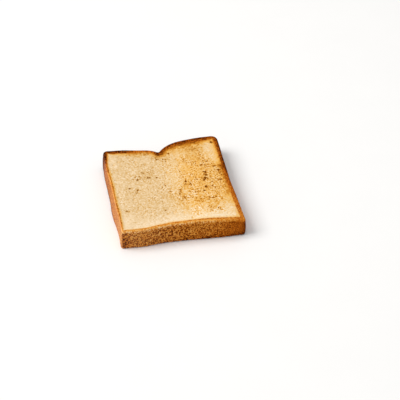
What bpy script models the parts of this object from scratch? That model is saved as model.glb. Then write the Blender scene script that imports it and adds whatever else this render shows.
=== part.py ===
"""A slice of toasted white bread from a two-lobed pan loaf, lying on one of its cut faces.

+X runs across the loaf, +Y from its base to its crown and +Z through the slice. Sizes are in metres.
The origin is under the middle of the slice, at the level of the surface that it lies on.
"""

import math

import bmesh
import bpy
import numpy as np
from mathutils import Vector, geometry, noise

# Corners of the cut face, measured from the middle of the loaf's base.
BASE_LEFT = (-0.0570, 0.0015)
BASE_RIGHT = (0.0583, -0.0016)
SHOULDER_RIGHT = (0.0564, 0.1263)
CLEFT = (-0.0045, 0.1106)
SHOULDER_LEFT = (-0.0578, 0.1235)
CORNER_RADIUS = {
    BASE_LEFT: 0.0020,
    BASE_RIGHT: 0.0024,
    SHOULDER_RIGHT: 0.0060,
    CLEFT: 0.0010,
    SHOULDER_LEFT: 0.0042,
}

# The points that each edge passes on its way round, against the clock.
BASE_EDGE = ((-0.0400, 0.0001), (-0.0150, 0.0014), (0.0150, 0.0002), (0.0380, -0.0013))
RIGHT_EDGE = ((0.0572, 0.0260), (0.0560, 0.0560), (0.0562, 0.0860), (0.0563, 0.1080))
RIGHT_LOBE = ((0.0410, 0.1269), (0.0260, 0.1259), (0.0116, 0.1228), (0.0024, 0.1177))
LEFT_LOBE = ((-0.0099, 0.1143), (-0.0250, 0.1186), (-0.0400, 0.1216))
LEFT_EDGE = ((-0.0581, 0.0980), (-0.0569, 0.0700), (-0.0569, 0.0420), (-0.0564, 0.0180))
EDGES = (
    (BASE_LEFT, BASE_EDGE, BASE_RIGHT),
    (BASE_RIGHT, RIGHT_EDGE, SHOULDER_RIGHT),
    (SHOULDER_RIGHT, RIGHT_LOBE, CLEFT),
    (CLEFT, LEFT_LOBE, SHOULDER_LEFT),
    (SHOULDER_LEFT, LEFT_EDGE, BASE_LEFT),
)

# Thickness at the four corners: a hand-cut slice is a little wedged, and its base swells right of
# the middle.
THICK_BASE_LEFT = 0.0210
THICK_BASE_RIGHT = 0.0188
THICK_CROWN_LEFT = 0.0196
THICK_CROWN_RIGHT = 0.0200
BASE_SWELL = 0.0030

# The crust wall. The left side leans out downwards, most at its belly.
TOP_ROUNDING = 0.0015
UNDER_ROUNDING = 0.0015
WALL_BULGE = 0.0005
LEFT_FLARE = 0.0013
LEFT_BELLY = 0.0019
BELLY_MIDDLE = 0.0530
BELLY_LENGTH = 0.0260
PIT_CELL = 0.0042
PIT_DEPTH = 0.0008
CRUST_WAVE = 0.0003
CRUST_WAVE_LENGTH = 0.0140

# The upper cut face: the crumb sinks a little inside the crust, waves gently and has open pores.
CRUST_BAND = 0.0032
CRUMB_SINK = 0.0004
CRUMB_WAVE = 0.0005
CRUMB_WAVE_LENGTH = 0.0200
PORE_CELL = 0.0075
PORE_DEPTH = 0.0012

# How finely the shape is divided.
TRACE_STEP = 0.00025
RING_POINTS = 280
CORNER_CARE = 0.0040
WALL_ROWS = 7
ROUNDING_ROWS = 3
FACE_STEP = 0.0028
UNDER_STEP = 0.0120
CLEARANCE = 0.6
JITTER_SEED = 7

CRUST_COLOUR = (0.624, 0.347, 0.117, 1.0)
CRUST_ROUGHNESS = 0.85


def smooth_path(knots):
    """Points a trace step apart on a smooth curve through the knots."""
    knots = [Vector((*knot, 0.0)) for knot in knots]
    spans = [after - before for before, after in zip(knots, knots[1:])]
    tangents = [spans[0].normalized()]
    for before, after in zip(spans, spans[1:]):
        blend = before.normalized() * after.length + after.normalized() * before.length
        tangents.append(blend.normalized())
    tangents.append(spans[-1].normalized())
    path = []
    for place, span in enumerate(spans):
        start, end = knots[place], knots[place + 1]
        reach = span.length / 3
        steps = max(2, round(span.length / TRACE_STEP))
        leave = start + tangents[place] * reach
        arrive = end - tangents[place + 1] * reach
        path += geometry.interpolate_bezier(start, leave, arrive, end, steps + 1)[:-1]
    return path + [knots[-1]]


def corner_arc(before, after, radius):
    """An arc from the end of one trimmed edge to the start of the next."""
    handle = radius * 4 / 3 * (math.sqrt(2) - 1)
    leave = before[-1] + (before[-1] - before[-2]).normalized() * handle
    arrive = after[0] - (after[1] - after[0]).normalized() * handle
    steps = max(6, round(radius / TRACE_STEP))
    return geometry.interpolate_bezier(before[-1], leave, arrive, after[0], steps + 1)[1:-1]


def traced_outline():
    """The whole outline as closely spaced points, with every corner rounded."""
    edges = []
    for start, passed, end in EDGES:
        path = smooth_path([start, *passed, end])
        skip_first = round(CORNER_RADIUS[start] / TRACE_STEP)
        skip_last = round(CORNER_RADIUS[end] / TRACE_STEP)
        edges.append(path[skip_first : len(path) - skip_last])
    trace = []
    for place, edge in enumerate(edges):
        following = edges[(place + 1) % len(edges)]
        trace += edge
        trace += corner_arc(edge, following, CORNER_RADIUS[EDGES[place][2]])
    return np.array([point[:2] for point in trace])


def spread_round(trace, count):
    """The closed trace cut to count points, which stand closer where it turns."""
    steps = np.roll(trace, -1, axis=0) - trace
    lengths = np.hypot(steps[:, 0], steps[:, 1])
    headings = np.arctan2(steps[:, 1], steps[:, 0])
    turns = np.abs((np.roll(headings, -1) - headings + math.pi) % (2 * math.pi) - math.pi)
    cost = np.concatenate([[0.0], np.cumsum(lengths + CORNER_CARE * turns)])
    wanted = np.arange(count) * cost[-1] / count
    closed = np.vstack([trace, trace[:1]])
    return np.column_stack([np.interp(wanted, cost, closed[:, axis]) for axis in (0, 1)])


def outward(ring):
    """The unit vector pointing out of the slice at each point of the ring."""
    along = np.roll(ring, -1, axis=0) - np.roll(ring, 1, axis=0)
    out = np.column_stack([along[:, 1], -along[:, 0]])
    return out / np.linalg.norm(out, axis=1, keepdims=True)


def thickness(x, y):
    """Height of the upper cut face over the lower one."""
    across = min(1.0, max(0.0, (x - BASE_LEFT[0]) / (BASE_RIGHT[0] - BASE_LEFT[0])))
    along = min(1.0, max(0.0, y / SHOULDER_RIGHT[1]))
    base = THICK_BASE_LEFT + (THICK_BASE_RIGHT - THICK_BASE_LEFT) * across
    base += BASE_SWELL * 27 / 4 * across**2 * (1 - across)
    crown = THICK_CROWN_LEFT + (THICK_CROWN_RIGHT - THICK_CROWN_LEFT) * across
    return base + (crown - base) * along


def hollow(place, cell):
    """0 between the bubbles and 1 in the middle of one, with bubbles about a cell apart."""
    distances, centres = noise.voronoi(place / cell)
    reach = 0.35 + 0.30 * noise.cell(centres[0] * 3.7)
    return max(0.0, 1 - distances[0] / reach) ** 0.7


def crust_relief(place):
    """How far the wall lies inside its smooth form: waves and the pits of burst bubbles."""
    wave = CRUST_WAVE * noise.noise(place / CRUST_WAVE_LENGTH)
    return PIT_DEPTH * hollow(place, PIT_CELL) + wave


def crumb_relief(place, from_edge):
    """How far the crumb lies below the plane of the cut."""
    inside = min(1.0, max(0.0, from_edge / CRUST_BAND - 0.5))
    wave = CRUMB_WAVE * noise.noise(place / CRUMB_WAVE_LENGTH)
    return inside * (CRUMB_SINK + wave + PORE_DEPTH * hollow(place, PORE_CELL))


def wall_rows(height):
    """Inset, level and upward tilt of each row of the wall, from the underside to the upper face."""
    rows = []
    for step in range(ROUNDING_ROWS + 1):
        turn = math.pi / 2 * step / ROUNDING_ROWS
        inset = UNDER_ROUNDING * (1 - math.sin(turn))
        rows.append((inset, UNDER_ROUNDING * (1 - math.cos(turn)), turn - math.pi / 2))
    straight = height - TOP_ROUNDING - UNDER_ROUNDING
    for step in range(1, WALL_ROWS):
        rows.append((0.0, UNDER_ROUNDING + straight * step / WALL_ROWS, 0.0))
    for step in range(ROUNDING_ROWS + 1):
        turn = math.pi / 2 * step / ROUNDING_ROWS
        inset = TOP_ROUNDING * (1 - math.cos(turn))
        rows.append((inset, height - TOP_ROUNDING * (1 - math.sin(turn)), turn))
    return rows


def left_flare(y):
    """How far the foot of the left side stands out from its upper edge."""
    return LEFT_FLARE + LEFT_BELLY * math.exp(-(((y - BELLY_MIDDLE) / BELLY_LENGTH) ** 2))


def wall_point(base, out, height, row):
    """A point of the crust, whose relief fades out over the rounded edges."""
    inset, level, tilt = row
    share = level / height
    swell = WALL_BULGE * 4 * share * (1 - share)
    flare = left_flare(base[1]) * max(0.0, -out[0]) * (1 - share)
    side = Vector((out[0], out[1], 0.0))
    point = Vector((base[0], base[1], level)) + side * (swell + flare - inset)
    facing = side * math.cos(tilt) + Vector((0.0, 0.0, math.sin(tilt)))
    return point - facing * crust_relief(point) * math.cos(tilt)


def inner_points(ring, step, jitter):
    """Points a step apart on a staggered grid inside the ring, kept clear of it."""
    low, high = ring.min(axis=0), ring.max(axis=0)
    found = []
    for row, y in enumerate(np.arange(low[1], high[1], step * math.sqrt(3) / 2)):
        for x in np.arange(low[0] + step / 2 * (row % 2), high[0], step):
            found.append((x, y))
    found = np.array(found) + jitter.uniform(-0.2, 0.2, (len(found), 2)) * step
    after = np.roll(ring, -1, axis=0)
    above = (ring[:, 1] > found[:, None, 1]) != (after[:, 1] > found[:, None, 1])
    rise = np.where(after[:, 1] == ring[:, 1], 1.0, after[:, 1] - ring[:, 1])
    slant = (after[:, 0] - ring[:, 0]) / rise
    crossing = ring[:, 0] + slant * (found[:, None, 1] - ring[:, 1])
    inside = (above & (found[:, None, 0] < crossing)).sum(axis=1) % 2 == 1
    return found[inside & (distance_to(ring, found) > CLEARANCE * step)]


def distance_to(ring, points):
    """Distance of each point to the nearest point of the ring."""
    gaps = points[:, None, :] - ring[None, :, :]
    return np.hypot(gaps[..., 0], gaps[..., 1]).min(axis=1)


def fill_face(mesh, rim, points, level, upward):
    """Closes the wall's rim with triangles over the inner points, at the level of each point."""
    flat = [Vector(vert.co[:2]) for vert in rim] + [Vector(point) for point in points]
    border = [list(range(len(rim)))]
    corners, _, faces, origins, _, _ = geometry.delaunay_2d_cdt(flat, [], border, 1, 1e-7)
    made = []
    for corner, origin in zip(corners, origins):
        if origin and origin[0] < len(rim):
            made.append(rim[origin[0]])
        else:
            made.append(mesh.verts.new((corner[0], corner[1], level(corner))))
    for face in faces:
        loop = [made[index] for index in face]
        mesh.faces.new(loop if upward else loop[::-1])


def build_slice():
    """The closed mesh of the slice."""
    trace = traced_outline()
    ring = spread_round(trace, RING_POINTS)
    out = outward(ring)
    heights = [thickness(x, y) for x, y in ring]
    stacks = [wall_rows(height) for height in heights]
    mesh = bmesh.new()
    rings = []
    for row in range(len(stacks[0])):
        rings.append([
            mesh.verts.new(wall_point(base, side, height, stack[row]))
            for base, side, height, stack in zip(ring, out, heights, stacks)
        ])
    for lower, upper in zip(rings, rings[1:]):
        for place in range(RING_POINTS):
            following = (place + 1) % RING_POINTS
            mesh.faces.new((lower[place], lower[following], upper[following], upper[place]))
    jitter = np.random.default_rng(JITTER_SEED)
    rim = np.array([vert.co[:2] for vert in rings[-1]])

    def crumb_level(corner):
        place = Vector((corner[0], corner[1], 0.0))
        from_edge = distance_to(trace, np.array([corner[:2]]))[0]
        return thickness(corner[0], corner[1]) - crumb_relief(place, from_edge)

    fill_face(mesh, rings[-1], inner_points(rim, FACE_STEP, jitter), crumb_level, True)
    rest = np.array([vert.co[:2] for vert in rings[0]])
    fill_face(mesh, rings[0], inner_points(rest, UNDER_STEP, jitter), lambda corner: 0.0, False)
    return mesh


def centred(mesh):
    """Moves the mesh so that the origin is under the middle of it."""
    places = np.array([vert.co for vert in mesh.verts])
    middle = (places.min(axis=0) + places.max(axis=0)) / 2
    bmesh.ops.translate(mesh, vec=(-middle[0], -middle[1], 0.0), verts=mesh.verts)


def crust_material():
    """Golden-brown toasted bread."""
    material = bpy.data.materials.new("toasted bread")
    material.use_nodes = True
    surface = material.node_tree.nodes["Principled BSDF"]
    surface.inputs["Base Color"].default_value = CRUST_COLOUR
    surface.inputs["Roughness"].default_value = CRUST_ROUGHNESS
    surface.inputs["Metallic"].default_value = 0.0
    return material


def main():
    for old in list(bpy.data.objects):
        bpy.data.objects.remove(old)
    shape = build_slice()
    centred(shape)
    bmesh.ops.triangulate(shape, faces=shape.faces)
    data = bpy.data.meshes.new("toast")
    shape.to_mesh(data)
    shape.free()
    data.shade_smooth()
    data.materials.append(crust_material())
    bpy.context.scene.collection.objects.link(bpy.data.objects.new("toast", data))


main()
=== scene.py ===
"""The looks of a slice of toasted white bread: porous crumb, pitted crust and the browning of both."""

import math

import bpy
import numpy as np
from mathutils import Matrix, Vector, geometry, kdtree, noise


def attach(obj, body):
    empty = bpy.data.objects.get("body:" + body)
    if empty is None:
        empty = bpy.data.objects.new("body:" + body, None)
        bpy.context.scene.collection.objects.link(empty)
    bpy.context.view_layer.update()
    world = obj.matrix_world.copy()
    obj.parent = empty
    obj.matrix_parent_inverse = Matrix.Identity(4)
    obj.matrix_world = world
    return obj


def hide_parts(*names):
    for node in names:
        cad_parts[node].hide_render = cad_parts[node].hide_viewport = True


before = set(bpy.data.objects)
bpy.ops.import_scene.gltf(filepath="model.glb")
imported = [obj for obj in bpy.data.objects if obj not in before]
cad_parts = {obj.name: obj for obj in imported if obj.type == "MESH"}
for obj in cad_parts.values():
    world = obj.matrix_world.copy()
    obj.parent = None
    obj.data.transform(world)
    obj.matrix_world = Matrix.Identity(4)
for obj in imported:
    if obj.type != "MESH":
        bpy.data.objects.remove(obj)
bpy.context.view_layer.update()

# Lengths are in metres unless a comment says millimetres.
# Outline of the cut face, measured from the middle of the loaf's base.
BASE_LEFT = (-0.0570, 0.0015)
BASE_RIGHT = (0.0583, -0.0016)
SHOULDER_RIGHT = (0.0564, 0.1263)
CLEFT = (-0.0045, 0.1106)
SHOULDER_LEFT = (-0.0578, 0.1235)
CORNER_RADIUS = {
    BASE_LEFT: 0.0020,
    BASE_RIGHT: 0.0024,
    SHOULDER_RIGHT: 0.0060,
    CLEFT: 0.0010,
    SHOULDER_LEFT: 0.0042,
}
BASE_EDGE = ((-0.0400, 0.0001), (-0.0150, 0.0014), (0.0150, 0.0002), (0.0380, -0.0013))
RIGHT_EDGE = ((0.0572, 0.0260), (0.0560, 0.0560), (0.0562, 0.0860), (0.0563, 0.1080))
RIGHT_LOBE = ((0.0410, 0.1269), (0.0260, 0.1259), (0.0116, 0.1228), (0.0024, 0.1177))
LEFT_LOBE = ((-0.0099, 0.1143), (-0.0250, 0.1186), (-0.0400, 0.1216))
LEFT_EDGE = ((-0.0581, 0.0980), (-0.0569, 0.0700), (-0.0569, 0.0420), (-0.0564, 0.0180))
EDGES = (
    (BASE_LEFT, BASE_EDGE, BASE_RIGHT),
    (BASE_RIGHT, RIGHT_EDGE, SHOULDER_RIGHT),
    (SHOULDER_RIGHT, RIGHT_LOBE, CLEFT),
    (CLEFT, LEFT_LOBE, SHOULDER_LEFT),
    (SHOULDER_LEFT, LEFT_EDGE, BASE_LEFT),
)
# From the middle of the loaf's base to the origin, which pores, patches and tones are measured from.
MIDDLE = (-0.00066, 0.06264)

# Thickness at the corners, and the form of the wall.
THICK_BASE_LEFT = 0.0210
THICK_BASE_RIGHT = 0.0188
THICK_CROWN_LEFT = 0.0196
THICK_CROWN_RIGHT = 0.0200
BASE_SWELL = 0.0030
TOP_ROUNDING = 0.0015
UNDER_ROUNDING = 0.0015
WALL_BULGE = 0.0005
LEFT_FLARE = 0.0013
LEFT_BELLY = 0.0019
BELLY_MIDDLE = 0.0530
BELLY_LENGTH = 0.0260
CRUST_WAVE = 0.0003
CRUST_WAVE_LENGTH = 0.0140

# The crumb sinks inside the crust: the band's width, and where sink and pores begin as shares of it.
CRUST_BAND = 0.0032
SINK_FROM = 0.5
PORES_FROM = -0.2
CRUMB_SINK = 0.0004
CRUMB_WAVE = 0.0005
CRUMB_WAVE_LENGTH = 0.0200

# Burst bubbles: spacing, least and greatest radius as shares of it, share kept, depth.
CRUMB_BUBBLES = (
    (0.0022, 0.30, 0.60, 0.80, 0.00030),
    (0.0048, 0.15, 0.42, 0.45, 0.00080),
)
CRUST_PITS = (
    (0.0018, 0.30, 0.60, 0.80, 0.00045),
    (0.0036, 0.20, 0.45, 0.50, 0.00060),
)
# A bubble this deep, or deeper, is darkened in full.
DEEP_BUBBLE = 0.0006
# How full a bubble's bowl is: a lower power makes it steeper at the rim.
BOWL_POWER = 0.8
# The bubbles' grid is bent by up to this share of the spacing, with this many bends to a spacing.
# The bends come out differently in each run unless they have a seed.
BUBBLE_SHIFT = 0.35
SHIFT_RATE = 0.7
SHIFT_SEED = 7
# A bubble's middle times each of these picks a random number: whether it is kept, and its size.
LUCK_RATE = 9.7
SIZE_RATE = 23.1
# Shifts of the places that the wall's pits and the underside's pores are picked by, so that they
# don't repeat the upper face's.
CRUST_PITS_OFFSET = (0.3, 0.3, 0.3)
UNDERSIDE_OFFSET = 0.5
GRAIN_LENGTH = 0.0011
GRAIN_DEPTH = 0.00009
# How much of pits and grain is left on the rounded rims.
LEAST_PITS = 0.25
LEAST_GRAIN = 0.5
# The way that a part of the wall faces, and how strongly it is pitted.
PITTED = (
    ((0, -1), 1.3),
    ((-1, 0), 0.60),
    ((1, 0), 1.10),
    ((0, 1), 0.45),
)

# Scorched pores of the upper face: place, radius, depth.
SCORCHED = (
    (0.0329, -0.0006, 0.0019, 0.00060),
    (0.0345, 0.0046, 0.0017, 0.00050),
    (0.0314, -0.0037, 0.0011, 0.00035),
    (0.0323, -0.0125, 0.0015, 0.00050),
    (0.0291, -0.0181, 0.0010, 0.00035),
    (0.0348, 0.0088, 0.0014, 0.00030),
    (0.0454, 0.0169, 0.0013, 0.00045),
    (0.0329, 0.0200, 0.0010, 0.00035),
    (0.0135, -0.0019, 0.0013, 0.00040),
    (0.0129, -0.0056, 0.0010, 0.00030),
    (-0.0303, 0.0106, 0.0012, 0.00040),
    (-0.0196, 0.0113, 0.0014, 0.00040),
    (-0.0240, 0.0194, 0.0013, 0.00025),
    (-0.0120, 0.0100, 0.0010, 0.00035),
    (-0.0328, -0.0048, 0.0013, 0.00045),
    (-0.0346, -0.0091, 0.0010, 0.00040),
    (-0.0400, -0.0013, 0.0009, 0.00030),
    (-0.0065, -0.0038, 0.0009, 0.00030),
    (-0.0120, -0.0400, 0.0009, 0.00030),
    (-0.0474, -0.0330, 0.0012, 0.00045),
    (-0.0046, 0.0450, 0.0018, 0.00025),
    (0.0500, 0.0540, 0.0014, 0.00025),
    (-0.0453, 0.0556, 0.0008, 0.00020),
)
SCORCH_RAGGED = 0.50
SCORCH_RAGGED_LENGTH = 0.0011
SCORCH_REACH = 1.5

# Browning round the outline: a place, tone of the rim at its edge (partly a painted arris highlight where
# it is pale) and where it meets the crumb, width of its band and of the glow inside it in millimetres,
# tone of the wall, how speckled it is and how much pale painted sheen it has.
CRUST_TONES = (
    (-0.0565, -0.0605, 0.26, 0.60, 1.9, 2.5, 0.46, 0.90, 0.20),
    (-0.0555, -0.0612, 0.26, 0.60, 1.9, 2.5, 0.74, 0.90, 0.05),
    (-0.0520, -0.0610, 0.26, 0.60, 2.2, 2.0, 0.67, 1.00, 0.05),
    (-0.0460, -0.0610, 0.25, 0.60, 2.4, 2.8, 0.59, 1.10, 0.06),
    (-0.0300, -0.0610, 0.25, 0.60, 2.6, 2.8, 0.58, 1.10, 0.03),
    (0.0000, -0.0610, 0.25, 0.56, 3.4, 3.0, 0.62, 1.00, 0.00),
    (0.0250, -0.0630, 0.32, 0.60, 4.0, 3.4, 0.62, 0.90, 0.00),
    (0.0400, -0.0630, 0.36, 0.62, 4.2, 4.0, 0.64, 0.70, 0.00),
    (0.0480, -0.0630, 0.42, 0.64, 4.3, 4.0, 0.68, 0.50, 0.00),
    (0.0540, -0.0630, 0.46, 0.62, 4.4, 4.5, 0.68, 0.40, 0.00),
    (0.0572, -0.0628, 0.48, 0.60, 4.4, 5.0, 0.84, 0.30, 0.00),
    (0.0570, -0.0500, 0.56, 0.56, 4.4, 8.0, 0.64, 0.50, 0.00),
    (0.0570, -0.0350, 0.62, 0.52, 4.6, 10.0, 0.62, 0.50, 0.00),
    (0.0560, -0.0150, 0.68, 0.56, 4.4, 7.5, 0.64, 0.50, 0.00),
    (0.0560, 0.0050, 0.78, 0.62, 4.2, 6.0, 0.68, 0.50, 0.00),
    (0.0560, 0.0160, 0.96, 0.72, 4.0, 6.0, 0.80, 0.40, 0.00),
    (0.0560, 0.0240, 0.94, 0.68, 3.8, 6.5, 0.80, 0.40, 0.00),
    (0.0570, 0.0400, 0.88, 0.62, 3.8, 7.0, 0.80, 0.40, 0.00),
    (0.0540, 0.0600, 0.88, 0.64, 4.6, 6.0, 0.84, 0.25, 0.00),
    (0.0400, 0.0640, 0.94, 0.64, 6.4, 7.5, 0.88, 0.25, 0.00),
    (0.0250, 0.0630, 0.90, 0.66, 6.6, 8.0, 0.88, 0.25, 0.00),
    (0.0100, 0.0580, 0.90, 0.64, 5.4, 7.5, 0.86, 0.25, 0.00),
    (0.0020, 0.0530, 0.84, 0.62, 4.2, 8.0, 0.84, 0.25, 0.00),
    (-0.0040, 0.0480, 0.94, 0.72, 3.8, 8.0, 0.84, 0.25, 0.00),
    (-0.0100, 0.0510, 0.72, 0.56, 3.8, 8.0, 0.78, 0.25, 0.00),
    (-0.0180, 0.0540, 0.70, 0.50, 4.0, 8.0, 0.74, 0.25, 0.00),
    (-0.0250, 0.0570, 0.80, 0.56, 4.4, 9.0, 0.82, 0.25, 0.00),
    (-0.0340, 0.0590, 0.98, 0.66, 5.2, 6.5, 0.94, 0.25, 0.00),
    (-0.0480, 0.0610, 1.02, 0.70, 5.8, 4.0, 0.96, 0.25, 0.00),
    (-0.0580, 0.0500, 0.98, 0.64, 3.2, 2.5, 0.86, 0.40, 0.06),
    (-0.0580, 0.0420, 0.80, 0.60, 2.4, 2.0, 0.74, 0.40, 0.21),
    (-0.0580, 0.0340, 0.52, 0.74, 1.6, 3.2, 0.63, 0.60, 0.20),
    (-0.0570, 0.0150, 0.28, 0.82, 1.2, 3.2, 0.61, 0.70, 0.15),
    (-0.0570, -0.0100, 0.30, 0.86, 1.2, 3.2, 0.56, 0.70, 0.19),
    (-0.0570, -0.0450, 0.34, 0.94, 1.3, 3.0, 0.46, 0.60, 0.30),
)
FACE_SPECKLING = 0.50
FACE_FADE = 1.5
# The tone of the rim, which where pale along the front and the left is partly a painted arris highlight,
# runs down the wall: depth below the face at which it ends, its fade and how ragged.
RIM_DROP = 0.0008
RIM_FADE = 0.0026
RIM_RAGGED = 0.0009
RIM_RAGGED_LENGTH = 0.0025

# In each pair below, a change starts at the first value and is complete the second value beyond it.
# Painted shade darkens the foot of the wall, most so along the left side, up to this share of the height.
FOOT_REACH = 0.34
FOOT_PAINTED_SHADE = 0.05
LEFT_FOOT_PAINTED_SHADE = 0.40
LEFT_FOOT_ACROSS = (-0.050, 0.005)
LEFT_FOOT_ALONG = (-0.045, 0.045)
RIGHT_FOOT_PAINTED_SHADE = 0.10
RIGHT_FOOT_ACROSS = (-0.030, 0.070)
DARKEST_PAINTED_FOOT_SHADE = 0.86

# Flatness is 0 on the upright wall and 1 on the faces. Speckling turns into the face's over the pair,
# what is under the next value is wall, and what is over the last one takes scorched pores.
SPECKLED_AS_FACE = (0.3, 0.6)
UPRIGHT = 0.05
SCORCHED_FROM = 0.5

# Browning of the upper crumb, with one patch paled by a painted highlight: patches as place, half width,
# half length, softness and change.
EVEN_TOASTING = 0.36
UNDER_TOASTING = 0.40
PATCHES = (
    (0.033, 0.004, 0.0215, 0.0460, 0.45, 0.13),
    (0.035, 0.002, 0.0150, 0.0340, 0.90, 0.06),
    (0.013, -0.028, 0.0110, 0.0130, 0.90, 0.09),
    (0.020, 0.052, 0.0200, 0.0090, 0.80, 0.14),
    (-0.003, 0.040, 0.0090, 0.0070, 0.90, 0.12),
    (-0.023, 0.0495, 0.0110, 0.0045, 1.00, 0.16),
    (0.045, 0.038, 0.0070, 0.0140, 0.80, -0.11),
    (-0.022, 0.012, 0.0130, 0.0100, 1.00, 0.05),
    # This pale patch by the right of the base is a painted highlight: glare on the crumb.
    (0.034, -0.056, 0.0150, 0.0060, 1.00, -0.10),
    (0.022, 0.046, 0.0400, 0.0180, 0.80, 0.03),
    (0.002, -0.018, 0.0090, 0.0120, 1.00, 0.06),
    (0.033, -0.045, 0.0095, 0.0060, 1.00, 0.06),
    (0.000, -0.050, 0.0090, 0.0100, 1.00, -0.06),
    (0.028, -0.022, 0.0120, 0.0070, 1.00, -0.06),
    (0.050, -0.046, 0.0070, 0.0060, 1.00, -0.09),
    (0.049, 0.026, 0.0060, 0.0060, 1.00, -0.07),
    (0.024, -0.034, 0.0160, 0.0050, 1.00, 0.04),
    (-0.042, -0.046, 0.0150, 0.0060, 1.00, -0.03),
    (-0.050, 0.039, 0.0060, 0.0070, 1.00, -0.06),
)
# How ragged the patches are: length of the bumps, and their height as a share of the patch.
PATCH_RAGGED = ((0.0100, 0.20), (0.0035, 0.12))
# A brown arc: middle, radius, breadth and change, the way its deepest part lies and how far it goes on.
ARC_MARK = (0.0160, -0.0175, 0.0105, 0.0016, 0.18)
ARC_MARK_FACES = math.radians(165)
ARC_MARK_REACH = 0.35
# The pale margin inside the crust: fully along the base, less on the left and least elsewhere.
MARGIN_PALENESS = 0.21
MARGIN_WIDTH = 0.0130
MARGIN_BASE = (-0.030, 0.020)
MARGIN_LEFT = (-0.030, 0.020)
MARGIN_ON_LEFT = 0.25
MARGIN_ELSEWHERE = 0.10
# The crumb is more golden on the right, and less so along the crown.
GOLDEN_RIGHT = (-0.015, 0.034)
GOLDEN_CROWN = (0.015, 0.034)
CROWN_PLAINNESS = 0.40
# The crumb is less mottled along the crown, more on its upper left and more by the right of the base.
EVEN_CROWN = (0.022, 0.016)
CROWN_EVENNESS = 0.21
MOTTLED_RIGHT = (-0.012, 0.030)
MOTTLED_UPPER = (0.008, 0.014)
MOTTLED_UPPER_END = (0.040, 0.010)
UPPER_MOTTLING = 0.25
MOTTLED_BASE = (-0.038, 0.006)
MOTTLED_BASE_ACROSS = (-0.005, 0.015)
BASE_MOTTLING = 0.6

# How finely the shape is divided.
TRACE_STEP = 0.00025
RING_POINTS = 940
CORNER_CARE = 0.0030
WALL_ROWS = 30
TOP_ROUNDING_ROWS = 6
UNDER_ROUNDING_ROWS = 4
FACE_STEP = 0.00059
UNDER_STEP = 0.0013
CLEARANCE = 0.6
JITTER = 0.2
JITTER_SEED = 7
BATCH = 4096
WELD = 1e-7
MAP_SIDE = 0.250
MAP_GAP = 0.003


def smooth_path(knots):
    """Points a trace step apart on a smooth curve through the knots."""
    knots = [Vector((*knot, 0.0)) for knot in knots]
    spans = [after - before for before, after in zip(knots, knots[1:])]
    tangents = [spans[0].normalized()]
    for before, after in zip(spans, spans[1:]):
        blend = before.normalized() * after.length + after.normalized() * before.length
        tangents.append(blend.normalized())
    tangents.append(spans[-1].normalized())
    path = []
    for place, span in enumerate(spans):
        start, end = knots[place], knots[place + 1]
        reach = span.length / 3
        steps = max(2, round(span.length / TRACE_STEP))
        leave = start + tangents[place] * reach
        arrive = end - tangents[place + 1] * reach
        path += geometry.interpolate_bezier(start, leave, arrive, end, steps + 1)[:-1]
    return path + [knots[-1]]


def corner_arc(before, after, radius):
    """An arc from the end of one trimmed edge to the start of the next."""
    handle = radius * 4 / 3 * (math.sqrt(2) - 1)
    leave = before[-1] + (before[-1] - before[-2]).normalized() * handle
    arrive = after[0] - (after[1] - after[0]).normalized() * handle
    steps = max(6, round(radius / TRACE_STEP))
    return geometry.interpolate_bezier(before[-1], leave, arrive, after[0], steps + 1)[1:-1]


def traced_outline():
    """The whole outline as closely spaced points, with every corner rounded."""
    edges = []
    for start, passed, end in EDGES:
        path = smooth_path([start, *passed, end])
        skip_first = round(CORNER_RADIUS[start] / TRACE_STEP)
        skip_last = round(CORNER_RADIUS[end] / TRACE_STEP)
        edges.append(path[skip_first : len(path) - skip_last])
    trace = []
    for place, edge in enumerate(edges):
        following = edges[(place + 1) % len(edges)]
        trace += edge
        trace += corner_arc(edge, following, CORNER_RADIUS[EDGES[place][2]])
    return np.array([point[:2] for point in trace])


def spread_round(trace, count):
    """The closed trace cut to count points, which stand closer where it turns."""
    steps = np.roll(trace, -1, axis=0) - trace
    lengths = np.hypot(steps[:, 0], steps[:, 1])
    headings = np.arctan2(steps[:, 1], steps[:, 0])
    turns = np.abs((np.roll(headings, -1) - headings + math.pi) % (2 * math.pi) - math.pi)
    cost = np.concatenate([[0.0], np.cumsum(lengths + CORNER_CARE * turns)])
    wanted = np.arange(count) * cost[-1] / count
    closed = np.vstack([trace, trace[:1]])
    return np.column_stack([np.interp(wanted, cost, closed[:, axis]) for axis in (0, 1)])


def outward(ring):
    """The unit vector pointing out of the slice at each point of the ring."""
    along = np.roll(ring, -1, axis=0) - np.roll(ring, 1, axis=0)
    out = np.column_stack([along[:, 1], -along[:, 0]])
    return out / np.linalg.norm(out, axis=1, keepdims=True)


def thickness(places):
    """Height of the upper cut face over the lower one at each place."""
    across = np.clip((places[:, 0] - BASE_LEFT[0]) / (BASE_RIGHT[0] - BASE_LEFT[0]), 0, 1)
    along = np.clip(places[:, 1] / SHOULDER_RIGHT[1], 0, 1)
    base = THICK_BASE_LEFT + (THICK_BASE_RIGHT - THICK_BASE_LEFT) * across
    base = base + BASE_SWELL * 27 / 4 * across**2 * (1 - across)
    crown = THICK_CROWN_LEFT + (THICK_CROWN_RIGHT - THICK_CROWN_LEFT) * across
    return base + (crown - base) * along


def ramped(value):
    """Smooth step from 0 to 1 as the value goes from 0 to 1."""
    value = np.clip(value, 0, 1)
    return value * value * (3 - 2 * value)


def rising(values, start, blend):
    """Smooth step from 0 at the start to 1 where the values are a blend above it."""
    return ramped((values - start) / blend)


def falling(values, start, blend):
    """Smooth step from 0 at the start to 1 where the values are a blend below it."""
    return ramped((start - values) / blend)


def smooth_noise(places, length):
    """Noise of about -1 to 1 with bumps a length across, at each place."""
    return np.array([noise.noise(Vector(place)) for place in places / length])


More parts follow.
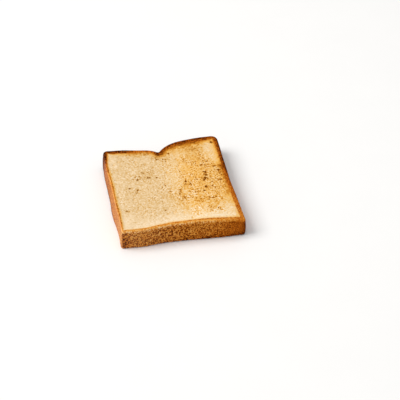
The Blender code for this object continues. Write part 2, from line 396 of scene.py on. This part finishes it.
def hollows(places, spacing, least, most, kept):
    """How deep each place lies in a burst bubble: 0 outside, 1 at the middle."""
    depths = np.zeros(len(places))
    for index, place in enumerate(places / spacing):
        place = Vector(place)
        place += noise.noise_vector(place * SHIFT_RATE) * BUBBLE_SHIFT
        distances, centres = noise.voronoi(place)
        if noise.cell(centres[0] * LUCK_RATE) > kept:
            continue
        reach = least + (most - least) * noise.cell(centres[0] * SIZE_RATE)
        if distances[0] < reach:
            depths[index] = (1 - (distances[0] / reach) ** 2) ** BOWL_POWER
    return depths


def bubbles(places, kinds):
    """Depth of the burst bubbles at each place, and the same as a share of a deep bubble's."""
    depth = np.zeros(len(places))
    share = np.zeros(len(places))
    for spacing, least, most, kept, deepest in kinds:
        found = hollows(places, spacing, least, most, kept)
        depth = np.maximum(depth, found * deepest)
        share = np.maximum(share, found * min(1.0, deepest / DEEP_BUBBLE))
    return depth, share


def scorched_pores(places):
    """Depth of the scorched pores at each place of the upper face, and how scorched it is."""
    depth = np.zeros(len(places))
    scorch = np.zeros(len(places))
    solid = np.column_stack([places, np.zeros(len(places))])
    ragged = 1 + SCORCH_RAGGED * smooth_noise(solid, SCORCH_RAGGED_LENGTH)
    for x, y, radius, deepest in SCORCHED:
        gap = np.hypot(places[:, 0] - x, places[:, 1] - y) / radius * ragged
        depth = np.maximum(depth, deepest * np.clip(1 - gap**2, 0, 1))
        scorch = np.maximum(scorch, np.clip(SCORCH_REACH - gap, 0, 1))
    return depth, scorch


def wall_rows(heights):
    """Inset, level and upward tilt of each row of the wall, from the underside to the upper face."""
    rows = []
    for turn in np.linspace(0, math.pi / 2, UNDER_ROUNDING_ROWS + 1):
        level = np.full(len(heights), UNDER_ROUNDING * (1 - math.cos(turn)))
        rows.append((UNDER_ROUNDING * (1 - math.sin(turn)), level, turn - math.pi / 2))
    straight = heights - TOP_ROUNDING - UNDER_ROUNDING
    for step in range(1, WALL_ROWS):
        rows.append((0.0, UNDER_ROUNDING + straight * step / WALL_ROWS, 0.0))
    for turn in np.linspace(0, math.pi / 2, TOP_ROUNDING_ROWS + 1):
        level = heights - TOP_ROUNDING * (1 - math.sin(turn))
        rows.append((TOP_ROUNDING * (1 - math.cos(turn)), level, turn))
    return rows


def pitting(out):
    """How strongly the wall is pitted, by the way that it faces."""
    weight = np.zeros(len(out))
    total = np.zeros(len(out))
    for (x, y), strength in PITTED:
        facing = np.clip(out[:, 0] * x + out[:, 1] * y, 0, 1) ** 2
        weight += facing * strength
        total += facing
    return weight / total


def left_flare(y):
    """How far the foot of the left side stands out from its upper edge."""
    return LEFT_FLARE + LEFT_BELLY * np.exp(-(((y - BELLY_MIDDLE) / BELLY_LENGTH) ** 2))


def build_wall(ring, out, strength):
    """The crust's points row by row, with the depth share of its pits and its level at each."""
    heights = thickness(ring)
    rows = []
    for inset, level, tilt in wall_rows(heights):
        share = level / heights
        swell = WALL_BULGE * 4 * share * (1 - share)
        flare = left_flare(ring[:, 1]) * np.clip(-out[:, 0], 0, 1) * (1 - share)
        push = (swell + flare - inset)[:, None]
        places = np.column_stack([ring + out * push, level])
        wave = CRUST_WAVE * smooth_noise(places, CRUST_WAVE_LENGTH)
        depth, pits = bubbles(places + CRUST_PITS_OFFSET, CRUST_PITS)
        grain = GRAIN_DEPTH * smooth_noise(places, GRAIN_LENGTH)
        fade = math.cos(tilt)
        relief = wave * fade + depth * strength * max(fade, LEAST_PITS)
        relief += grain * max(fade, LEAST_GRAIN)
        lowest = not rows
        if lowest:
            relief[:] = 0.0
        facing = np.column_stack([out * fade, np.full(len(out), math.sin(tilt))])
        rows.append((places - facing * relief[:, None], pits * strength, share))
    return rows


def wall_quads(rows, count):
    """The wall's faces, row by row, over rows of count points."""
    quads = []
    for row in range(rows - 1):
        lower, upper = row * count, (row + 1) * count
        for place in range(count):
            after = (place + 1) % count
            quads.append((lower + place, lower + after, upper + after, upper + place))
    return quads


def inner_points(ring, step, jitter):
    """Points a step apart on a staggered grid inside the ring, kept clear of it."""
    low, high = ring.min(axis=0), ring.max(axis=0)
    rows = []
    for row, y in enumerate(np.arange(low[1], high[1], step * math.sqrt(3) / 2)):
        x = np.arange(low[0] + step / 2 * (row % 2), high[0], step)
        rows.append(np.column_stack([x, np.full(len(x), y)]))
    found = np.vstack(rows)
    found = found + jitter.uniform(-JITTER, JITTER, found.shape) * step
    after = np.roll(ring, -1, axis=0)
    rise = np.where(after[:, 1] == ring[:, 1], 1.0, after[:, 1] - ring[:, 1])
    slant = (after[:, 0] - ring[:, 0]) / rise
    inside = np.zeros(len(found), bool)
    for first in range(0, len(found), BATCH):
        x, y = found[first : first + BATCH].T[:, :, None]
        above = (ring[:, 1] > y) != (after[:, 1] > y)
        crossing = ring[:, 0] + slant * (y - ring[:, 1])
        inside[first : first + BATCH] = (above & (x < crossing)).sum(axis=1) % 2 == 1
    found = found[inside]
    _, gaps = nearest_on(ring, found)
    return found[gaps > CLEARANCE * step]


def nearest_on(ring, places):
    """Index of the ring's point nearest to each place, and the distance to it."""
    tree = kdtree.KDTree(len(ring))
    for index, point in enumerate(ring):
        tree.insert((point[0], point[1], 0.0), index)
    tree.balance()
    found = [tree.find((place[0], place[1], 0.0))[1:] for place in places]
    indices, gaps = zip(*found)
    return np.array(indices), np.array(gaps)


def fill_face(rim, points):
    """Triangles that close the rim over the inner points, whose numbers follow the rim's."""
    flat = [Vector(point) for point in np.vstack([rim, points])]
    border = [list(range(len(rim)))]
    _, _, faces, origins, _, _ = geometry.delaunay_2d_cdt(flat, [], border, 1, WELD)
    return [[origins[index][0] for index in face] for face in faces]


def crumb_level(places, gaps, lift):
    """Height of a cut face's crumb over its plane, with the depth share of its pores."""
    solid = np.column_stack([places, np.full(len(places), lift)])
    inside = np.clip(gaps / CRUST_BAND - SINK_FROM, 0, 1)
    near = np.clip(gaps / CRUST_BAND - PORES_FROM, 0, 1)
    wave = CRUMB_WAVE * smooth_noise(solid, CRUMB_WAVE_LENGTH)
    depth, pores = bubbles(solid, CRUMB_BUBBLES)
    grain = GRAIN_DEPTH * smooth_noise(solid, GRAIN_LENGTH)
    return -inside * (CRUMB_SINK + wave) - near * depth - grain, pores * near


def cut_face(rim, trace, upward, jitter):
    """Inner points of a cut face, the depth share of its pores and its triangles."""
    inner = inner_points(rim, FACE_STEP if upward else UNDER_STEP, jitter)
    _, gaps = nearest_on(trace, inner)
    relief, pores = crumb_level(inner, gaps, 0.0 if upward else UNDERSIDE_OFFSET)
    if upward:
        scorch_depth, _ = scorched_pores(inner - MIDDLE)
        level = thickness(inner) + relief - scorch_depth
    else:
        level = -np.minimum(relief + CRUMB_SINK, 0.0)
    return np.column_stack([inner, level]), pores, fill_face(rim, inner)


def patch(places, x, y, wide, long, soft):
    """1 inside a ragged oval patch and 0 outside it."""
    solid = np.column_stack([places, np.zeros(len(places))])
    reach = np.hypot((places[:, 0] - x) / wide, (places[:, 1] - y) / long)
    for length, height in PATCH_RAGGED:
        reach = reach + height * smooth_noise(solid, length)
    return ramped((1 + soft / 2 - reach) / soft)


def upper_toasting_and_painted_glare(places, gaps):
    """How browned the upper crumb is at each place, with one patch paled by a painted highlight."""
    level = np.full(len(places), EVEN_TOASTING)
    for x, y, wide, long, soft, change in PATCHES:
        level += change * patch(places, x, y, wide, long, soft)
    x, y, radius, breadth, change = ARC_MARK
    ring = np.hypot(places[:, 0] - x, places[:, 1] - y)
    turn = np.arctan2(places[:, 1] - y, places[:, 0] - x)
    facing = np.clip(np.cos(turn - ARC_MARK_FACES) + ARC_MARK_REACH, 0, 1)
    level += change * facing * np.exp(-(((ring - radius) / breadth) ** 2))
    level -= MARGIN_PALENESS * np.exp(-((gaps / MARGIN_WIDTH) ** 2)) * margin_share(places)
    return level


def margin_share(places):
    """How far the pale margin shows."""
    x, y = places.T
    left = falling(x, *MARGIN_LEFT)
    base = falling(y, *MARGIN_BASE)
    return base + (1 - base) * (MARGIN_ELSEWHERE + MARGIN_ON_LEFT * left)


def mottling(places):
    """How mottled the upper crumb is."""
    x, y = places.T
    right = rising(x, *MOTTLED_RIGHT)
    crown = rising(y, *EVEN_CROWN)
    upper = rising(y, *MOTTLED_UPPER) * falling(y, *MOTTLED_UPPER_END)
    base = falling(y, *MOTTLED_BASE) * rising(x, *MOTTLED_BASE_ACROSS)
    lessened = CROWN_EVENNESS * crown * (1 + right)
    return 1 - lessened + UPPER_MOTTLING * upper * (1 - right) + BASE_MOTTLING * base


def golden_share(places):
    """How golden the crumb is."""
    x, y = places.T
    return rising(x, *GOLDEN_RIGHT) * (1 - CROWN_PLAINNESS * rising(y, *GOLDEN_CROWN))


def foot_painted_shade(places):
    """How much painted shade darkens the foot of the wall."""
    x, y = places.T
    left = falling(x, *LEFT_FOOT_ACROSS) * rising(y, *LEFT_FOOT_ALONG)
    right = rising(x, *RIGHT_FOOT_ACROSS)
    return FOOT_PAINTED_SHADE + LEFT_FOOT_PAINTED_SHADE * left + RIGHT_FOOT_PAINTED_SHADE * right


def tones_round(trace):
    """The tones and widths round the outline, in the order that the table gives them in."""
    anchors = np.array(CRUST_TONES)
    starts, _ = nearest_on(trace, anchors[:, :2] + MIDDLE)
    order = np.argsort(starts)
    known = np.concatenate([starts[order] - len(trace), starts[order], starts[order] + len(trace)])
    columns = []
    for column in range(2, len(CRUST_TONES[0])):
        values = np.tile(anchors[order, column], 3)
        columns.append(np.interp(np.arange(len(trace)), known, values))
    return np.column_stack(columns)


def wall_tones(points, levels, rim_tone, wall_tone):
    """Tone of the wall's points: the rim's at the top, the wall's below it, darker at the foot with
    painted shade.
    """
    # Painted shade at the foot of the wall, kept no darker than the darkest foot tone.
    foot = foot_painted_shade(points[:, :2] - MIDDLE) * ramped(1 - levels / FOOT_REACH)
    wall_tone = np.minimum(wall_tone + foot, np.maximum(wall_tone, DARKEST_PAINTED_FOOT_SHADE))
    ragged = RIM_RAGGED * smooth_noise(points, RIM_RAGGED_LENGTH)
    drop = thickness(points[:, :2]) - points[:, 2] + ragged
    return rim_tone + (wall_tone - rim_tone) * rising(drop, RIM_DROP, RIM_FADE)


def browning(points, tilts, levels, on_wall, trace, foot):
    """What the material is told at each point: distance from the crust's edge, tones and textures."""
    near, gaps = nearest_on(trace, points)
    upper = levels > 0.5
    _, gaps[~upper] = nearest_on(foot, points[~upper])
    flatness = np.abs(np.sin(tilts))
    gaps = np.where(on_wall & (flatness < UPRIGHT), 0.0, gaps)
    tones = tones_round(trace)[near]
    edge_tone, inner_tone, band, glow, wall_tone, speckling, painted_sheen = tones.T
    across = np.clip(gaps * 1000 / band, 0, 1) ** FACE_FADE
    # The pale edge tone along the front and the left is partly the crust band's colour and partly a
    # painted highlight on the lit arris.
    rim_tone = edge_tone + (inner_tone - edge_tone) * across
    flat = points[:, :2] - MIDDLE
    _, scorch = scorched_pores(flat)
    face_share = rising(flatness, *SPECKLED_AS_FACE)
    return {
        "gap": gaps * 1000,
        "band": band,
        "glow": glow,
        "tone": np.where(on_wall, wall_tones(points, levels, rim_tone, wall_tone), rim_tone),
        "toasting": np.where(upper, upper_toasting_and_painted_glare(flat, gaps), UNDER_TOASTING),
        "scorch": np.where(upper & (flatness > SCORCHED_FROM), scorch, 0),
        "speckling": speckling + (FACE_SPECKLING - speckling) * face_share,
        # Painted sheen: a grazing reflection painted as a pale colour on the upright walls only.
        "painted_sheen": painted_sheen * (1 - flatness),
        "golden": golden_share(flat),
        "mottling": np.where(upper, mottling(flat), 1.0),
    }


def build_bread():
    """One closed mesh of the slice, with what its material needs to know at every point."""
    noise.seed_set(SHIFT_SEED)
    trace = traced_outline()
    ring = spread_round(trace, RING_POINTS)
    out = outward(ring)
    nearest, _ = nearest_on(trace, ring)
    *_, speckling, _ = tones_round(trace)[nearest].T
    rows = build_wall(ring, out, pitting(out) * speckling)
    count = len(ring)
    points = [places for places, _, _ in rows]
    pits = [found for _, found, _ in rows]
    levels = [share for _, _, share in rows]
    tilts = [np.full(count, tilt) for _, _, tilt in wall_rows(thickness(ring))]
    faces = wall_quads(len(rows), count)
    on_wall = len(rows) * count

    jitter = np.random.default_rng(JITTER_SEED)
    total = on_wall
    face_ends = [len(faces)]
    for upward in (True, False):
        rim_row = len(rows) - 1 if upward else 0
        inner, pores, triangles = cut_face(rows[rim_row][0][:, :2], trace, upward, jitter)
        numbers = np.concatenate([rim_row * count + np.arange(count), total + np.arange(len(inner))])
        for triangle in triangles:
            corners = [int(numbers[index]) for index in triangle]
            faces.append(tuple(corners if upward else corners[::-1]))
        points.append(inner)
        pits.append(pores)
        levels.append(np.full(len(inner), 1.0 if upward else 0.0))
        tilts.append(np.full(len(inner), math.pi / 2 if upward else -math.pi / 2))
        total += len(inner)
        face_ends.append(len(faces))

    points = np.vstack(points)
    tilts, levels = np.concatenate(tilts), np.concatenate(levels)
    foot = rows[UNDER_ROUNDING_ROWS][0][:, :2]
    known = browning(points, tilts, levels, np.arange(total) < on_wall, trace, foot)
    known["pit"] = np.concatenate(pits)
    mesh = bpy.data.meshes.new("bread")
    mesh.from_pydata((points - (*MIDDLE, 0.0)).tolist(), [], faces)
    for name, values in known.items():
        layer = mesh.attributes.new(name, "FLOAT", "POINT")
        layer.data.foreach_set("value", np.ascontiguousarray(values, np.float32))
    lay_map(mesh, ring, rows, *face_ends[:2])
    mesh.shade_smooth()
    return mesh


def wall_map(ring, rows):
    """Where the wall's points lie on the material map: along the ring, and up the wall."""
    steps = np.roll(ring, -1, axis=0) - ring
    along = np.concatenate([[0.0], np.cumsum(np.hypot(steps[:, 0], steps[:, 1]))])
    climb = [np.zeros(len(ring))]
    for (before, *_), (after, *_) in zip(rows, rows[1:]):
        climb.append(climb[-1] + np.linalg.norm(after - before, axis=1))
    return along, np.array(climb)


def lay_map(mesh, ring, rows, wall_end, upper_end):
    """The material map: both cut faces side by side, with the wall in two strips under them."""
    count = len(ring)
    half = count // 2
    along, climb = wall_map(ring, rows)
    strip = climb.max() + MAP_GAP
    uv = np.empty((len(mesh.loops), 2))
    for index in range(wall_end):
        row, place = divmod(index, count)
        second = place >= half
        start = along[half] if second else 0.0
        base = MAP_GAP + (strip if second else 0.0)
        square = ((row, place), (row, place + 1), (row + 1, place + 1), (row + 1, place))
        for corner, (step_row, step_place) in enumerate(square):
            u = MAP_GAP + along[step_place] - start
            uv[4 * index + corner] = (u, base + climb[step_row][step_place % count])

    vertices = np.empty(len(mesh.loops), np.int32)
    mesh.loops.foreach_get("vertex_index", vertices)
    places = np.array([vertex.co for vertex in mesh.vertices])
    size = np.ptp(places, axis=0)
    wall_corners = 4 * wall_end
    flat = places[vertices[wall_corners:], :2] - places.min(axis=0)[:2]
    uv[wall_corners:, 0] = MAP_GAP + flat[:, 0]
    uv[wall_corners:, 1] = MAP_GAP + 2 * strip + flat[:, 1]
    upper_corners = 3 * (upper_end - wall_end)
    under_across = size[0] - flat[upper_corners:, 0]
    uv[wall_corners + upper_corners :, 0] = 2 * MAP_GAP + size[0] + under_across
    layer = mesh.uv_layers.new(name="OFBake")
    layer.uv.foreach_set("vector", (uv / MAP_SIDE).astype(np.float32).ravel())


# Colours as they look in plain light, from least to most browned.
CRUMB_COLOURS = (
    (0.00, (252, 233, 206)),
    (0.20, (243, 215, 174)),
    (0.40, (227, 193, 142)),
    (0.58, (220, 177, 111)),
    (0.78, (187, 132, 58)),
    (1.00, (112, 58, 8)),
)
GOLDEN_CRUMB_COLOURS = (
    (0.00, (255, 237, 207)),
    (0.20, (249, 219, 173)),
    (0.40, (243, 200, 134)),
    (0.58, (241, 184, 90)),
    (0.78, (205, 129, 35)),
    (1.00, (112, 58, 8)),
)
CRUST_COLOURS = (
    (0.00, (248, 204, 146)),
    (0.16, (236, 176, 90)),
    (0.32, (224, 150, 58)),
    (0.50, (203, 113, 26)),
    (0.70, (155, 74, 8)),
    (0.85, (94, 39, 3)),
    (1.00, (46, 17, 2)),
)
# Colour of the painted sheen, a grazing reflection off the upright walls.
PAINTED_SHEEN_COLOUR = (214, 170, 148)
FLOOR_COLOUR = (253, 252, 250)

# Textures of the material. A noise is its length, or its length, detail and roughness. Pits are their
# spacing, and as shares of it the distances from a pit's middle at which it is full and at an end.
# In each set of four, such as GLOW_BY_TONE, the result goes from the third value to the fourth as its
# cause goes from the first to the second.

# Edge of the crust's band: its raggedness and half its blend are in millimetres.
BAND_NOISE = (0.0022,)
BAND_RAGGED = 0.45
BAND_BLEND = 0.6
# The glow inside the band: how fast it fades, how it follows the rim's tone and how golden it is.
GLOW_POWER = 1.6
GLOW_BY_TONE = (0.2, 0.9, 0.18, 0.50)
GLOW_GOLD = 2.5
# Mottles of the crumb, and how strong they are by its browning, in clouds and in the glow.
MOTTLE_NOISES = (((0.0017, 1.0, 0.6), 0.42), ((0.0035, 2.0, 0.6), 0.08))
MOTTLE_PITS = (0.0018, 0.10, 0.45)
MOTTLE_PIT_STRENGTH = 0.32
MOTTLE_BY_TOASTING = (0.10, 0.55, 0.28, 1.1)
MOTTLE_CLOUDS = (0.0110,)
MOTTLE_BY_CLOUD = (-0.7, 0.9, 0.6, 1.5)
MOTTLE_BY_GLOW = (0.0, 0.3, 1.0, 0.45)
# Broad tones of the crumb, painted shade in the pores, and scorched pores.
CRUMB_BROAD_NOISE = (0.0150,)
CRUMB_BROAD_STRENGTH = 0.04
PORE_PAINTED_SHADE = 0.12
SCORCH_NOISE = (0.0010,)
SCORCH_BY_NOISE = (-1.0, 0.6, 0.0, 1.0)
SCORCHING = 0.75
# Speckles of the crust: dark lines where a noise is near 0, spots, and pits.
LINE_NOISE = (0.0019, 1.0, 0.6)
SPECKLE_BY_LINE = (0.0, 0.42, -0.38, 0.16)
SPOT_NOISE = (0.0014, 1.0, 0.6)
SPOT_STRENGTH = 0.16
CRUST_FINE_PITS = (0.0019, 0.10, 0.45)
FINE_PIT_STRENGTH = 0.16
CRUST_PIT_DARKENING = 0.20
DARKEST_SPECKLE = 0.22
CRUST_BROAD_NOISE = (0.0060,)
CRUST_BROAD_STRENGTH = 0.06
# Roughness, shine and the finest relief.
CRUMB_ROUGHNESS = 0.88
CRUST_ROUGHNESS = 0.62
ROUGHNESS_NOISE = (0.0020,)
ROUGHNESS_STRENGTH = 0.05
SHINE = 0.01
RELIEF_NOISES = (((0.0005, 3.0, 0.6), 1.0), ((0.0012,), 0.6))
RELIEF_STRENGTH = 0.35
RELIEF_HEIGHT = 0.00012


def linear(colour):
    """A display colour of 0 to 255 as the numbers that a shader takes."""
    shares = [part / 255 for part in colour]
    return (*[s / 12.92 if s <= 0.04045 else ((s + 0.055) / 1.055) ** 2.4 for s in shares], 1.0)


class Surface:
    """A material being built: each method adds a node and returns the socket that it gives."""

    def __init__(self, name):
        self.material = bpy.data.materials.new(name)
        self.material.use_nodes = True
        self.tree = self.material.node_tree
        self.shader = self.tree.nodes["Principled BSDF"]
        self.places = self.tree.nodes.new("ShaderNodeTexCoord").outputs["Object"]

    def node(self, kind, inputs, **settings):
        made = self.tree.nodes.new(kind)
        for name, value in settings.items():
            setattr(made, name, value)
        for name, value in inputs.items():
            self.feed(made.inputs[name], value)
        return made

    def feed(self, socket, value):
        if isinstance(value, bpy.types.NodeSocket):
            self.tree.links.new(value, socket)
        else:
            socket.default_value = value

    def known(self, name):
        """What the mesh knows under this name at each point."""
        return self.node("ShaderNodeAttribute", {}, attribute_name=name).outputs["Fac"]

    def noise(self, length, detail=2.0, rough=0.5):
        """Noise of about -1 to 1 with bumps a length across."""
        inputs = {"Vector": self.places, "Scale": 1 / length, "Detail": detail, "Roughness": rough}
        found = self.node("ShaderNodeTexNoise", inputs).outputs["Fac"]
        return self.multiply(self.plus(found, -0.5), 3.3)

    def pits(self, spacing, full, end):
        """1 in the middle of each small pit and 0 between them, a spacing apart."""
        inputs = {"Vector": self.places, "Scale": 1 / spacing}
        found = self.node("ShaderNodeTexVoronoi", inputs).outputs["Distance"]
        return self.step(found, full, end, 1.0, 0.0)

    def calculate(self, operation, first, second=0.0):
        return self.node("ShaderNodeMath", {0: first, 1: second}, operation=operation).outputs[0]

    def clipped(self, value):
        return self.node("ShaderNodeClamp", {"Value": value}).outputs["Result"]

    def plus(self, first, second):
        return self.calculate("ADD", first, second)

    def multiply(self, first, second):
        return self.calculate("MULTIPLY", first, second)

    def total(self, value, *parts):
        """The value plus each part times its strength."""
        for part, strength in parts:
            value = self.plus(value, self.multiply(part, strength))
        return value

    def step(self, value, low, high, first, last):
        """Runs smoothly from first to last as the value goes from low to high."""
        inputs = {"Value": value, "From Min": low, "From Max": high, "To Min": first, "To Max": last}
        made = self.node("ShaderNodeMapRange", inputs, interpolation_type="SMOOTHSTEP")
        return made.outputs["Result"]

    def ramp(self, value, colours):
        made = self.node("ShaderNodeValToRGB", {"Fac": value})
        marks = made.color_ramp.elements
        while len(marks) < len(colours):
            marks.new(0.5)
        for mark, (place, colour) in zip(marks, colours):
            mark.position = place
            mark.color = linear(colour)
        return made.outputs["Color"]

    def mix(self, share, first, second):
        made = self.node("ShaderNodeMix", {"Factor": share}, data_type="RGBA")
        self.feed(made.inputs[6], first)
        self.feed(made.inputs[7], second)
        return made.outputs[2]

    def finish(self, colour, roughness, shine):
        self.feed(self.shader.inputs["Base Color"], colour)
        self.feed(self.shader.inputs["Roughness"], roughness)
        self.shader.inputs["Specular IOR Level"].default_value = shine
        return self.material


def crust_edge(bread):
    """1 on the crust and 0 on the crumb, and the glow of the crumb beside the crust."""
    band = bread.known("band")
    ragged = bread.total(bread.known("gap"), (bread.noise(*BAND_NOISE), BAND_RAGGED))
    start, end = bread.plus(band, -BAND_BLEND), bread.plus(band, BAND_BLEND)
    crust = bread.step(ragged, start, end, 1.0, 0.0)
    beyond = bread.calculate("SUBTRACT", ragged, band)
    fading = bread.clipped(bread.calculate("DIVIDE", beyond, bread.known("glow")))
    glow = bread.calculate("POWER", bread.calculate("SUBTRACT", 1.0, fading), GLOW_POWER)
    return crust, bread.multiply(glow, bread.step(bread.known("tone"), *GLOW_BY_TONE))


def crumb_colour(bread, glow):
    """The crumb as it is browned, more so in mottles and scorched pores, and darker in its pores by
    painted shade.
    """
    toasting = bread.known("toasting")
    mottles = [(bread.noise(*size), strength) for size, strength in MOTTLE_NOISES]
    mottle = bread.total(0.0, *mottles, (bread.pits(*MOTTLE_PITS), MOTTLE_PIT_STRENGTH))
    strength = bread.step(toasting, *MOTTLE_BY_TOASTING)
    strength = bread.multiply(strength, bread.step(bread.noise(*MOTTLE_CLOUDS), *MOTTLE_BY_CLOUD))
    strength = bread.multiply(strength, bread.known("mottling"))
    strength = bread.multiply(strength, bread.step(glow, *MOTTLE_BY_GLOW))
    scorched = bread.step(bread.noise(*SCORCH_NOISE), *SCORCH_BY_NOISE)
    scorch = bread.multiply(bread.known("scorch"), scorched)
    browned = bread.total(
        bread.plus(toasting, glow),
        (mottle, strength),
        (bread.noise(*CRUMB_BROAD_NOISE), CRUMB_BROAD_STRENGTH),
        # Painted shade in the pores, by their depth.
        (bread.known("pit"), PORE_PAINTED_SHADE),
        (scorch, SCORCHING),
    )
    golden = bread.clipped(bread.total(bread.known("golden"), (glow, GLOW_GOLD)))
    plain_colour = bread.ramp(browned, CRUMB_COLOURS)
    return bread.mix(golden, plain_colour, bread.ramp(browned, GOLDEN_CRUMB_COLOURS))


def crust_colour(bread):
    """The crust by its tone, speckled and pitted, and paled in places by a painted sheen."""
    lines = bread.calculate("ABSOLUTE", bread.noise(*LINE_NOISE))
    speckle = bread.total(
        bread.step(lines, *SPECKLE_BY_LINE),
        (bread.noise(*SPOT_NOISE), SPOT_STRENGTH),
        (bread.pits(*CRUST_FINE_PITS), FINE_PIT_STRENGTH),
        (bread.known("pit"), CRUST_PIT_DARKENING),
    )
    speckle = bread.calculate("MINIMUM", speckle, DARKEST_SPECKLE)
    tone = bread.total(
        bread.known("tone"),
        (speckle, bread.known("speckling")),
        (bread.noise(*CRUST_BROAD_NOISE), CRUST_BROAD_STRENGTH),
    )
    # The painted sheen is mixed into the crust's colour.
    return bread.mix(bread.known("painted_sheen"), bread.ramp(tone, CRUST_COLOURS), linear(PAINTED_SHEEN_COLOUR))


def bread_material():
    """Toasted crumb inside a band of crust, both browned as the mesh's points say."""
    bread = Surface("toasted bread")
    crust, glow = crust_edge(bread)
    colour = bread.mix(crust, crumb_colour(bread, glow), crust_colour(bread))
    rough = bread.step(crust, 0.0, 1.0, CRUMB_ROUGHNESS, CRUST_ROUGHNESS)
    rough = bread.total(rough, (bread.noise(*ROUGHNESS_NOISE), ROUGHNESS_STRENGTH))
    height = bread.total(0.0, *[(bread.noise(*size), share) for size, share in RELIEF_NOISES])
    inputs = {"Height": height, "Strength": RELIEF_STRENGTH, "Distance": RELIEF_HEIGHT}
    relief = bread.node("ShaderNodeBump", inputs).outputs["Normal"]
    bread.feed(bread.shader.inputs["Normal"], relief)
    return bread.finish(colour, rough, SHINE)


# The studio: lights as place, size and watts, light from all round, and the floor.
KEY_LIGHT = ((-3.60, 0.48, 4.32), 3.3, 207.0)
OVERHEAD_LIGHT = ((-0.10, 0.10, 1.20), 0.9, 2.5)
SURROUNDING_LIGHT = 0.45
FLOOR_REACH = 3.0
FLOOR_LEVEL = -0.0001
FLOOR_MOTTLE = 0.05
FLOOR_LIGHTER = 1.01
FLOOR_ROUGHNESS = 0.9
FLOOR_SHINE = 0.2


def floor_material():
    """A plain pale tabletop with a faint mottle."""
    top = Surface("pale tabletop")
    plain = linear(FLOOR_COLOUR)
    lighter = tuple(min(1.0, part * FLOOR_LIGHTER) for part in plain)
    shade = top.step(top.noise(FLOOR_MOTTLE), -1.0, 1.0, 0.0, 1.0)
    return top.finish(top.mix(shade, plain, lighter), FLOOR_ROUGHNESS, FLOOR_SHINE)


def linked(name, data):
    made = bpy.data.objects.new(name, data)
    bpy.context.scene.collection.objects.link(made)
    return made


def lay_floor():
    corners = ((-1, -1), (1, -1), (1, 1), (-1, 1))
    places = [(x * FLOOR_REACH, y * FLOOR_REACH, FLOOR_LEVEL) for x, y in corners]
    mesh = bpy.data.meshes.new("floor")
    mesh.from_pydata(places, [], [(0, 1, 2, 3)])
    mesh.materials.append(floor_material())
    linked("floor", mesh)


def add_light(name, place, size, watts):
    """A square soft box that faces the slice."""
    data = bpy.data.lights.new(name, "AREA")
    data.shape = "SQUARE"
    data.size = size
    data.energy = watts
    light = linked(name, data)
    light.location = place
    light.rotation_euler = (-Vector(place)).to_track_quat("-Z", "Y").to_euler()


def light_studio():
    add_light("key light", *KEY_LIGHT)
    add_light("overhead light", *OVERHEAD_LIGHT)
    world = bpy.data.worlds.new("studio")
    world.use_nodes = True
    background = world.node_tree.nodes["Background"]
    background.inputs["Color"].default_value = (1.0, 1.0, 1.0, 1.0)
    background.inputs["Strength"].default_value = SURROUNDING_LIGHT
    bpy.context.scene.world = world
    bpy.context.scene.view_settings.view_transform = "Standard"


# The camera: angles round the slice, distance and the point that it looks at; lens in millimetres.
VIEW_AZIMUTH = math.radians(-11.12)
VIEW_ELEVATION = math.radians(40.93)
VIEW_DISTANCE = 1.2240
VIEW_TARGET = (0.02677, -0.00756, 0.0)
LENS = 114.56
SENSOR = 36.0


def add_camera():
    data = bpy.data.cameras.new("camera")
    data.lens = LENS
    data.sensor_width = SENSOR
    camera = linked("camera", data)
    back = Vector((
        math.sin(VIEW_AZIMUTH) * math.cos(VIEW_ELEVATION),
        -math.cos(VIEW_AZIMUTH) * math.cos(VIEW_ELEVATION),
        math.sin(VIEW_ELEVATION),
    ))
    right = Vector((math.cos(VIEW_AZIMUTH), math.sin(VIEW_AZIMUTH), 0.0))
    turned = Matrix((right, back.cross(right), back)).transposed().to_4x4()
    turned.translation = Vector(VIEW_TARGET) + back * VIEW_DISTANCE
    camera.matrix_world = turned
    bpy.context.scene.camera = camera


def main():
    mesh = build_bread()
    mesh.materials.append(bread_material())
    bread = linked("bread", mesh)
    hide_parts("toast")
    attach(bread, "root")
    lay_floor()
    light_studio()
    add_camera()


main()
